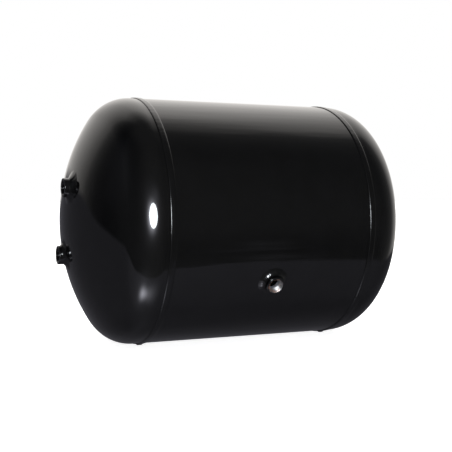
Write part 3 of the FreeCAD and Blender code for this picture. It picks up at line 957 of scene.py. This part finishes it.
def crown_seat(side):
    """The dish of a head as a seat for welds."""
    way = SIDES[side]
    centre = np.array([way * (HEAD_APEX - sizes().crown_radius), AXIS.y, AXIS.z])

    def skin_point(points):
        arm = points - centre
        reach = np.sqrt(sizes().crown_radius ** 2 - arm[..., 1] ** 2 - arm[..., 2] ** 2)
        seated = points.copy()
        seated[..., 0] = centre[0] + way * reach
        return seated

    def skin_aim(points):
        arm = points - centre
        return arm / np.linalg.norm(arm, axis=-1, keepdims=True)

    return skin_point, skin_aim


def shell_seat():
    """The shell as a seat for the weld of its boss."""
    angle = shell_boss_line()[1]
    out = np.array([0.0, math.cos(angle), math.sin(angle)])
    side = np.array([0.0, -math.sin(angle), math.cos(angle)])
    axis = np.array([0.0, AXIS.y, AXIS.z])

    def skin_point(points):
        sideways = (points - axis) @ side
        height = np.sqrt(OUTER_RADIUS ** 2 - sideways ** 2)
        seated = axis + height[..., None] * out + sideways[..., None] * side
        seated[..., 0] = points[..., 0]
        return seated

    def skin_aim(points):
        arm = points - axis
        arm[..., 0] = 0.0
        return arm / np.linalg.norm(arm, axis=-1, keepdims=True)

    return skin_point, skin_aim


# ---------------------------------------------------------------- finishes

def new_material(name):
    """An empty node material with its Principled shader."""
    material = bpy.data.materials.new(name)
    material.use_nodes = True
    return material, material.node_tree, material.node_tree.nodes["Principled BSDF"]


def feed(tree, made, **inputs):
    """Link or set the inputs of a node by their names, written with _ for a space."""
    for name, value in inputs.items():
        socket = made.inputs[name.replace("_", " ")]
        if isinstance(value, bpy.types.NodeSocket):
            tree.links.new(value, socket)
        else:
            socket.default_value = value


def node(tree, kind, **values):
    """A shader node with its settings and, for names of inputs, their links or values."""
    made = tree.nodes.new(kind)
    for name, value in values.items():
        if hasattr(made, name):
            setattr(made, name, value)
        else:
            feed(tree, made, **{name: value})
    return made


def grain(tree, scale, detail=3.0, stretch=(1.0, 1.0, 1.0), rough=0.5):
    """Noise over the object's own coordinates, in patches of about 1 / scale metres."""
    spot = tree.nodes.new("ShaderNodeTexCoord")
    mapping = node(tree, "ShaderNodeMapping", Vector=spot.outputs["Object"], Scale=stretch)
    noise = node(tree, "ShaderNodeTexNoise", Vector=mapping.outputs["Vector"], Scale=scale,
                 Detail=detail, Roughness=rough)
    return noise.outputs["Fac"]


def between(tree, factor, low, high, start=0.3, end=0.7):
    """A number that goes from low to high as the factor goes from start to end."""
    spread = node(tree, "ShaderNodeMapRange", clamp=True, Value=factor, From_Min=start,
                  From_Max=end, To_Min=low, To_Max=high)
    return spread.outputs["Result"]


def blend(tree, factor, first, second, kind="RGBA"):
    """A colour or a number that goes from the first to the second with the factor."""
    mix = node(tree, "ShaderNodeMix", data_type=kind, Factor=factor, A=first, B=second)
    return mix.outputs["Result"]


def opaque(colour, share=1.0):
    """A colour times a share, with its alpha."""
    return (*(share * part for part in colour), 1.0)


def bump(tree, height, distance, under=None):
    made = node(tree, "ShaderNodeBump", Strength=1.0, Distance=distance, Height=height)
    if under is not None:
        feed(tree, made, Normal=under)
    return made.outputs["Normal"]


def made_once(maker):
    """Give a finish's material again when it has been made before."""
    def finish():
        return bpy.data.materials.get(maker.__name__) or maker(maker.__name__)
    return finish


def black_paint(name, roughness, spread=0.03, orange_peel=0.004 * MM, waves=0.0, streaks=0.0,
                sag=0.0):
    """Gloss black paint on steel: a dark body under a clear glossy top that isn't quite flat.

    orange_peel, waves, streaks and sag are depths; waves and streaks run along the tank.
    """
    material, tree, shader = new_material(name)
    look = finish_of()
    thin = between(tree, grain(tree, scale=35.0, detail=4.0), 0.0, 1.0)
    patchy = grain(tree, scale=60.0, stretch=(0.5, 1.0, 1.0))
    normal = bump(tree, grain(tree, scale=420.0, detail=2.0), orange_peel)
    if waves:
        rolled = grain(tree, scale=22.0, detail=2.0, stretch=(0.25, 1.0, 1.0))
        normal = bump(tree, rolled, waves, under=normal)
    if streaks:
        drawn = grain(tree, scale=45.0, stretch=(0.10, 1.0, 1.0))
        normal = bump(tree, drawn, streaks, under=normal)
    if sag:
        normal = bump(tree, grain(tree, scale=120.0), sag, under=normal)
    feed(tree, shader, Specular_IOR_Level=0.5, IOR=1.5, Normal=normal,
         Base_Color=blend(tree, thin, opaque(look.paint), opaque(look.paint_thin)),
         Roughness=between(tree, patchy, roughness, roughness + spread))
    return material


@made_once
def mirror_black_paint(name):
    """Paint of the pressed heads, the smoothest of all."""
    return black_paint(name, finish_of().paint_roughness, waves=0.05 * MM)


@made_once
def rolled_black_paint(name):
    """Paint of the shell, over the faint waves that rolling leaves in the sheet."""
    return black_paint(name, finish_of().paint_roughness, waves=0.16 * MM, streaks=0.26 * MM)


@made_once
def weld_black_paint(name):
    """Paint over a weld, which lies a little thicker between its ripples."""
    return black_paint(name, 0.07, spread=0.08, orange_peel=0.006 * MM, sag=0.03 * MM)


@made_once
def boss_black_paint(name):
    """Paint over the turned outside of a boss."""
    return black_paint(name, 0.04, spread=0.06, orange_peel=0.006 * MM, sag=0.015 * MM)


@made_once
def cut_thread_steel(name):
    """Bare machined steel of a bore, with a trace of rust that grows towards its damp side."""
    material, tree, shader = new_material(name)
    look = finish_of()
    worn = between(tree, grain(tree, scale=300.0, detail=4.0), 0.0, 1.0)
    tone = blend(tree, worn, opaque(look.bare_steel), opaque(look.bare_steel, 0.7))
    rusty = blend(tree, grain(tree, scale=900.0, detail=4.0), opaque(look.rust),
                  opaque(look.rust, 0.5))
    spot = tree.nodes.new("ShaderNodeTexCoord")
    parts = node(tree, "ShaderNodeSeparateXYZ", Vector=spot.outputs["Object"])
    damp_side = between(tree, parts.outputs["X"], 0.17, 0.0, start=-8.0 * MM, end=6.0 * MM)
    patchy = math_node(tree, "ADD", grain(tree, scale=110.0, detail=5.0, rough=0.6), damp_side)
    spots = between(tree, patchy, 0.0, 1.0, start=0.52, end=0.68)
    feed(tree, shader, Base_Color=blend(tree, spots, tone, rusty),
         Metallic=between(tree, spots, 1.0, 0.25, 0.0, 1.0),
         Roughness=between(tree, spots, 0.42, 0.7, 0.0, 1.0),
         Normal=bump(tree, grain(tree, scale=1500.0, detail=2.0), 0.01 * MM))
    return material


@made_once
def mill_scale_steel(name):
    """Unpainted rolled steel of the inside, matt and blue-grey with light rust. It is also put at
    the deep end of each bore as painted shade.
    """
    material, tree, shader = new_material(name)
    look = finish_of()
    worn = between(tree, grain(tree, scale=25.0, detail=5.0), 0.0, 1.0)
    tone = blend(tree, worn, opaque(look.mill_scale), opaque(look.mill_scale, 1.5))
    rusty = blend(tree, grain(tree, scale=200.0, detail=4.0), opaque(look.rust, 0.4),
                  opaque(look.rust, 0.2))
    patchy = grain(tree, scale=18.0, detail=6.0, rough=0.65)
    spots = between(tree, patchy, 0.0, 1.0, start=0.55, end=0.70)
    feed(tree, shader, Specular_IOR_Level=0.25, Base_Color=blend(tree, spots, tone, rusty),
         Metallic=between(tree, spots, 0.12, 0.0, 0.0, 1.0),
         Roughness=between(tree, spots, 0.65, 0.9, 0.0, 1.0),
         Normal=bump(tree, grain(tree, scale=500.0, detail=4.0), 0.05 * MM))
    return material


# ---------------------------------------------------------------- studio

# Directions are given as turn round the tank from the front, and height above the horizontal.
TABLE_EDGE = ((-180, 5), (-150, 8), (-120, -2), (-90, -18), (-60, -38), (-10, -50), (25, -42),
              (30, -35), (60, -30), (90, -20), (120, -8), (145, -4), (180, 2))
EDGE_SHIFT = 60.0                       # keeps the edge's heights positive in their curve
EDGE_BLUR = 1.2
TABLE_LIGHT = ((-180, 0.11), (-152, 0.085), (-128, 0.12), (-98, 0.19), (-83, 0.28), (-60, 0.34),
               (-20, 0.30), (22, 0.27), (37, 0.22), (67, 0.15), (97, 0.09), (142, 0.085),
               (180, 0.11))
NADIR = (-88.0, -60.0)                  # the table dims between these heights, below the tank
NADIR_LIGHT = 0.18
ROOM_LIGHT = ((-180, 0.12), (-136, 0.09), (-122, 0.05), (-110, 0.07), (-98, 0.12), (-68, 0.14),
              (-23, 0.17), (7, 0.16), (22, 0.15), (52, 0.13), (82, 0.17), (110, 0.20),
              (180, 0.12))
ZENITH = (45.0, 85.0)                   # the room turns to its ceiling between these heights
CEILING_LIGHT = 0.11
CARD_TURN = ((-180, 1.05), (-158, 0.75), (-143, 0.36), (-128, 0.0), (0, 0.0), (82, 0.02),
             (97, 0.42), (112, 0.85), (127, 1.05), (150, 1.3), (172, 1.2), (180, 1.05))
CARD_HEIGHT = ((-90, 0.65), (5, 0.65), (20, 0.8), (35, 1.0), (50, 1.0), (64, 0.58), (73, 0.18),
               (82, 0.0), (90, 0.0))
KEY_TURN = math.radians(-20.0)
KEY_LIFT = math.radians(5.5)
KEY_SPREAD = (math.radians(20.0), math.radians(20.5))
KEY_DISTANCE = 2.4
KEY_COLOUR = (0.90, 0.97, 1.0)
CARD_COLOUR = (1.04, 1.0, 0.96)
TABLE_COLOUR = (0.975, 0.965, 1.10)
POOL_COLOUR = (0.93, 0.94, 1.05)
ROOM_COLOUR = (1.0, 1.0, 1.0)
# Soft pools of light: turn, height, brightness and width of each.
POOLS = ((-20, 5, 21.0, 6.0), (-20, 5, 0.8, 12), (-20, 14, 0.15, 12), (-8, 22, 0.3, 6),
         (-104, 27, 0.09, 12), (-50, -61, 5.5, 4.2), (-36, -64, 2.0, 3.5), (-20, -66, 1.0, 5.0),
         (0, -66, 0.5, 7.0), (-45, -58, 0.4, 10), (27.6, -18.5, 0.09, 1.1),
         (28.6, -22.5, 0.08, 1.3), (26.6, -25, 0.06, 1.0), (31.5, -30.5, 0.09, 1.6))
# Dimmer part of the room, low on the right: turn, height, share that it loses and width.
LOW_SHADE = (30, -24, 0.36, 11)
TOP_PLACE = (0.0, -0.4, 3.0)
TOP_STRENGTH = 1.5
TOP_SPREAD = math.radians(100.0)
FLOOR_HALF = 40.0
FLOOR_TONES = ((0.80, 0.80, 0.80, 1.0), (0.82, 0.82, 0.82, 1.0))
SENSOR_WIDTH = 36.0
AIM_SHIFT = Vector((-0.05, -0.35, -10.3)) * MM      # the camera looks just under the axis
WHITE = (1.0, 1.0, 1.0, 1.0)


def direction(turn, lift):
    """Unit vector at a turn round the tank from the front and a height above the horizontal."""
    return Vector((math.sin(turn) * math.cos(lift), -math.cos(turn) * math.cos(lift),
                   math.sin(lift)))


def math_node(tree, operation, *values):
    """The result of a sum on numbers or on the outputs of other nodes."""
    made = node(tree, "ShaderNodeMath", operation=operation)
    for socket, value in zip(made.inputs, values):
        if isinstance(value, bpy.types.NodeSocket):
            tree.links.new(value, socket)
        else:
            socket.default_value = value
    return made.outputs[0]


def curve_of(tree, value, points, low, high, top):
    """A curve through given points, read at a value between low and high."""
    share = between(tree, value, 0.0, 1.0, low, high)
    curve = node(tree, "ShaderNodeFloatCurve", Value=share)
    line = curve.mapping.curves[0]
    places = [((x - low) / (high - low), y / top) for x, y in points]
    line.points[0].location = places[0]
    line.points[1].location = places[-1]
    for place in places[1:-1]:
        line.points.new(*place)
    for point in line.points:
        point.handle_type = "AUTO"
    curve.mapping.update()
    return math_node(tree, "MULTIPLY", curve.outputs["Value"], top)


def tinted(tree, value, colour):
    """A grey number as a colour."""
    made = node(tree, "ShaderNodeVectorMath", operation="SCALE", Scale=value)
    made.inputs[0].default_value = colour
    return made.outputs["Vector"]


def add_colours(tree, first, second):
    made = node(tree, "ShaderNodeVectorMath", operation="ADD")
    tree.links.new(first, made.inputs[0])
    tree.links.new(second, made.inputs[1])
    return made.outputs["Vector"]


def soft_pool(tree, spot, turn, lift, strength, width):
    """A round soft-edged pool in the surroundings, at a turn and height in degrees."""
    near = node(tree, "ShaderNodeVectorMath", operation="DOT_PRODUCT")
    near.inputs[1].default_value = direction(math.radians(turn), math.radians(lift))
    tree.links.new(spot.outputs["Generated"], near.inputs[0])
    fall = math_node(tree, "MULTIPLY", math_node(tree, "SUBTRACT", near.outputs["Value"], 1.0),
                     1.0 / math.radians(width) ** 2)
    return math_node(tree, "MULTIPLY", math_node(tree, "EXPONENT", fall), strength)


def room_of(tree):
    """Light of the surroundings: a dark room, a pale card behind and a grey table."""
    spot = tree.nodes.new("ShaderNodeTexCoord")
    parts = node(tree, "ShaderNodeSeparateXYZ", Vector=spot.outputs["Generated"])
    front = math_node(tree, "MULTIPLY", parts.outputs["Y"], -1.0)
    turn = math_node(tree, "DEGREES", math_node(tree, "ARCTAN2", parts.outputs["X"], front))
    lift = math_node(tree, "DEGREES", math_node(tree, "ARCSINE", parts.outputs["Z"]))

    def by_turn(points, top=1.0):
        return curve_of(tree, turn, points, -180, 180, top)

    raised = by_turn([(x, y + EDGE_SHIFT) for x, y in TABLE_EDGE], 90.0)
    edge = math_node(tree, "SUBTRACT", raised, EDGE_SHIFT)
    above = between(tree, math_node(tree, "SUBTRACT", lift, edge), 0.0, 1.0, -EDGE_BLUR, EDGE_BLUR)
    room = blend(tree, between(tree, lift, 0.0, 1.0, *ZENITH), by_turn(ROOM_LIGHT),
                 CEILING_LIGHT, "FLOAT")
    lit_share = math_node(tree, "SUBTRACT", 1.0, soft_pool(tree, spot, *LOW_SHADE))
    room = math_node(tree, "MULTIPLY", room, lit_share)
    card = math_node(tree, "MULTIPLY", by_turn(CARD_TURN, 2.0),
                     curve_of(tree, lift, CARD_HEIGHT, -90, 90, 1.0))
    table = blend(tree, between(tree, lift, 1.0, 0.0, *NADIR), by_turn(TABLE_LIGHT),
                  NADIR_LIGHT, "FLOAT")
    upper = add_colours(tree, tinted(tree, room, ROOM_COLOUR), tinted(tree, card, CARD_COLOUR))
    light = blend(tree, above, tinted(tree, table, TABLE_COLOUR), upper)
    for pool in POOLS:
        light = add_colours(tree, light, tinted(tree, soft_pool(tree, spot, *pool), POOL_COLOUR))
    return light


def set_room():
    """Surroundings that the paint mirrors, behind a plain white backdrop."""
    world = bpy.data.worlds.new("studio_room")
    bpy.context.scene.world = world
    world.use_nodes = True
    tree = world.node_tree
    tree.nodes.clear()
    mirrored = node(tree, "ShaderNodeBackground", Color=room_of(tree))
    backdrop = node(tree, "ShaderNodeBackground", Color=WHITE, Strength=1.0)
    seen = tree.nodes.new("ShaderNodeLightPath")
    pick = node(tree, "ShaderNodeMixShader", Fac=seen.outputs["Is Camera Ray"])
    tree.links.new(mirrored.outputs[0], pick.inputs[1])
    tree.links.new(backdrop.outputs[0], pick.inputs[2])
    node(tree, "ShaderNodeOutputWorld", Surface=pick.outputs[0])


def set_floor():
    """Plain pale floor that glows a little, so that only a soft shadow shows on it."""
    corners = [(-FLOOR_HALF, -FLOOR_HALF, 0.0), (FLOOR_HALF, -FLOOR_HALF, 0.0),
               (FLOOR_HALF, FLOOR_HALF, 0.0), (-FLOOR_HALF, FLOOR_HALF, 0.0)]
    mesh = bpy.data.meshes.new("floor")
    mesh.from_pydata(corners, [], [(0, 1, 2, 3)])
    floor = link_new("floor", mesh)
    material, tree, shader = new_material("pale_floor")
    shade = between(tree, grain(tree, scale=3.0), 0.0, 1.0)
    feed(tree, shader, Base_Color=blend(tree, shade, *FLOOR_TONES), Roughness=0.9,
         Specular_IOR_Level=0.0, Emission_Color=WHITE, Emission_Strength=studio().floor_glow)
    mesh.materials.append(material)
    floor.visible_glossy = False


def look_along(piece, way):
    """Turn a light or a camera to look along a direction."""
    piece.rotation_mode = "QUATERNION"
    piece.rotation_quaternion = way.to_track_quat("-Z", "Y")


def add_light(name, kind, place, target, colour):
    data = bpy.data.lights.new(name, kind)
    data.color = colour
    light = link_new(name, data)
    light.location = place
    look_along(light, Vector(target) - Vector(place))
    light.visible_camera = False
    return light


def set_lights():
    """One large softbox beside the camera, and soft light from above for the floor."""
    place = AXIS + direction(KEY_TURN, KEY_LIFT) * KEY_DISTANCE
    key = add_light("key_softbox", "AREA", place, AXIS, KEY_COLOUR)
    key.data.shape = "ELLIPSE"
    key.data.size, key.data.size_y = (2.0 * KEY_DISTANCE * math.tan(spread / 2)
                                      for spread in KEY_SPREAD)
    area = math.pi * key.data.size * key.data.size_y / 4
    key.data.energy = studio().key_radiance * math.pi * area
    key.visible_diffuse = False
    top = add_light("top_light", "SUN", TOP_PLACE, (0.0, 0.0, 0.0), WHITE[:3])
    top.data.energy = TOP_STRENGTH
    top.data.angle = TOP_SPREAD
    top.visible_glossy = False


def set_camera():
    view = studio()
    data = bpy.data.cameras.new("camera")
    data.lens = view.lens
    data.sensor_width = SENSOR_WIDTH
    camera = link_new("camera", data)
    back = direction(view.camera_azimuth, view.camera_elevation)
    camera.location = AXIS + AIM_SHIFT + back * view.camera_distance
    look_along(camera, -back)
    bpy.context.scene.camera = camera


# ---------------------------------------------------------------- operators

class TankOperator:
    bl_options = {"REGISTER", "UNDO"}


class TANK_OT_roll_shell(TankOperator, bpy.types.Operator):
    """Roll the sheet of the shell, with the hole for its boss"""
    bl_idname = "tank.roll_shell"
    bl_label = "Roll Shell"

    def execute(self, context):
        make_piece("rolled_shell", "shell", shell_patches(),
                   [rolled_black_paint(), mill_scale_steel()])
        return {"FINISHED"}


class TANK_OT_press_heads(TankOperator, bpy.types.Operator):
    """Press the two dished heads, with the holes for their bosses"""
    bl_idname = "tank.press_heads"
    bl_label = "Press Heads"

    def execute(self, context):
        for side in SIDES:
            make_piece(side + "_dished_head", side + "_head", head_patches(side),
                       [mirror_black_paint(), mill_scale_steel()])
        return {"FINISHED"}


class TANK_OT_lay_girth_welds(TankOperator, bpy.types.Operator):
    """Lay the weld round the tank at each head"""
    bl_idname = "tank.lay_girth_welds"
    bl_label = "Lay Girth Welds"

    def execute(self, context):
        for side in SIDES:
            make_piece(side + "_girth_bead", side + "_girth_weld", girth_patches(side),
                       [weld_black_paint()])
        return {"FINISHED"}


class TANK_OT_lay_seam_weld(TankOperator, bpy.types.Operator):
    """Lay the straight weld along the rolled shell"""
    bl_idname = "tank.lay_seam_weld"
    bl_label = "Lay Seam Weld"

    def execute(self, context):
        make_piece("shell_seam_bead", "shell_seam_weld", seam_patches(), [weld_black_paint()])
        return {"FINISHED"}


class TANK_OT_turn_bosses(TankOperator, bpy.types.Operator):
    """Turn the five bosses and cut their threads"""
    bl_idname = "tank.turn_bosses"
    bl_label = "Turn Bosses"

    def execute(self, context):
        materials = [boss_black_paint(), cut_thread_steel(), mill_scale_steel()]
        for name, (face, out), length, painted_depth, _, _ in all_bosses():
            make_piece(name + "_threaded_boss", name + "_boss",
                       boss_patches(face, out, length, painted_depth), materials)
        return {"FINISHED"}


class TANK_OT_lay_boss_welds(TankOperator, bpy.types.Operator):
    """Lay the fillet weld round each boss"""
    bl_idname = "tank.lay_boss_welds"
    bl_label = "Lay Boss Welds"

    def execute(self, context):
        for number, (name, (face, out), _, _, seat, spread) in enumerate(all_bosses()):
            seed = FIRST_WELD_SEED + number * WELD_SEED_STEP
            make_piece(name + "_boss_fillet", name + "_boss_weld",
                       boss_weld_patches(face, out, seat, spread, seed), [weld_black_paint()])
        return {"FINISHED"}


class TANK_OT_set_stage(TankOperator, bpy.types.Operator):
    """Set the floor, the light, the surroundings and the camera"""
    bl_idname = "tank.set_stage"
    bl_label = "Set Stage"

    def execute(self, context):
        set_floor()
        set_room()
        set_lights()
        set_camera()
        context.scene.view_settings.view_transform = "Standard"
        return {"FINISHED"}


class TANK_PT_making(bpy.types.Panel):
    bl_label = "Pressure Tank"
    bl_idname = "TANK_PT_making"
    bl_space_type = "VIEW_3D"
    bl_region_type = "UI"
    bl_category = "Tank"

    def draw(self, context):
        for operator in OPERATORS:
            self.layout.operator(operator.bl_idname)


GROUPS = {"tank_sizes": TankSizes, "tank_finish": TankFinish, "tank_studio": TankStudio}
OPERATORS = (
    TANK_OT_roll_shell,
    TANK_OT_press_heads,
    TANK_OT_lay_girth_welds,
    TANK_OT_lay_seam_weld,
    TANK_OT_turn_bosses,
    TANK_OT_lay_boss_welds,
    TANK_OT_set_stage,
)


def register():
    for name, group in GROUPS.items():
        bpy.utils.register_class(group)
        setattr(bpy.types.Scene, name, PointerProperty(type=group))
    for operator in OPERATORS:
        bpy.utils.register_class(operator)
    bpy.utils.register_class(TANK_PT_making)


def unregister():
    bpy.utils.unregister_class(TANK_PT_making)
    for operator in reversed(OPERATORS):
        bpy.utils.unregister_class(operator)
    for name, group in GROUPS.items():
        delattr(bpy.types.Scene, name)
        bpy.utils.unregister_class(group)


def main():
    register()
    bpy.ops.tank.roll_shell()
    bpy.ops.tank.press_heads()
    bpy.ops.tank.lay_girth_welds()
    bpy.ops.tank.lay_seam_weld()
    bpy.ops.tank.turn_bosses()
    bpy.ops.tank.lay_boss_welds()
    bpy.ops.tank.set_stage()


if __name__ == "__main__":
    main()
